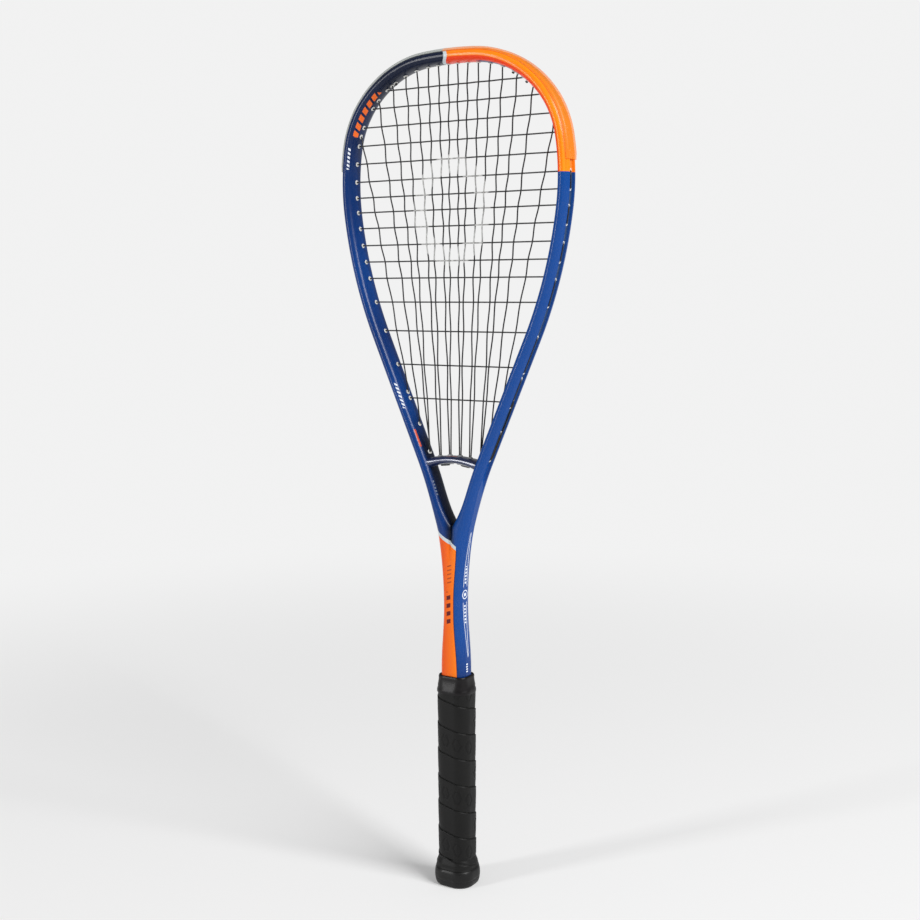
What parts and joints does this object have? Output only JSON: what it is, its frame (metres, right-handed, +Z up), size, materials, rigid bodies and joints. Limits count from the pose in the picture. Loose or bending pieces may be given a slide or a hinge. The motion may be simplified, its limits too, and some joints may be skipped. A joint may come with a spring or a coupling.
{
  "type": "squash racket",
  "caption": "Squash racket with a blue and orange hairpin frame, open throat, woven black string bed, clear bumper guard and a black wrapped grip with a flared butt.",
  "frame": {"origin": "middle of the flat end of the butt", "axes": "+X to the right across the head, +Y back through the depth of the frame, +Z up the handle to the tip of the head"},
  "size_m": [0.2134, 0.033, 0.685],
  "materials": {
    "painted_carbon": "glossy royal blue and orange paint over moulded carbon fibre",
    "navy_carbon": "glossy dark navy paint over moulded carbon fibre",
    "clear_nylon": "clear moulded nylon, slightly frosted",
    "black_string": "black multifilament nylon with a clear coat",
    "handle_foam": "moulded polyurethane foam",
    "black_rubber": "smooth black rubber with a soft shine",
    "staple_steel": "plain steel wire",
    "grip_wrap": "black cushioned synthetic wrap, satin",
    "black_tape": "black vinyl tape"
  },
  "bodies": {
    "root": {"frame": "painted_carbon", "throat_bridge": "navy_carbon", "bumper_guard": "clear_nylon", "grommet_strip_head": "clear_nylon", "grommet_strip_left": "clear_nylon", "grommet_strip_right": "clear_nylon", "bridge_grommet_left": "clear_nylon", "bridge_grommet_right": "clear_nylon", "main_string": "black_string", "cross_string": "black_string", "pallet_front": "handle_foam", "pallet_back": "handle_foam", "butt_cap": "black_rubber", "cap_staple_left": "staple_steel", "cap_staple_right": "staple_steel", "base_grip": "grip_wrap", "finishing_tape": "black_tape", "rubber_collar": "black_rubber"}
  },
  "joints": []
}
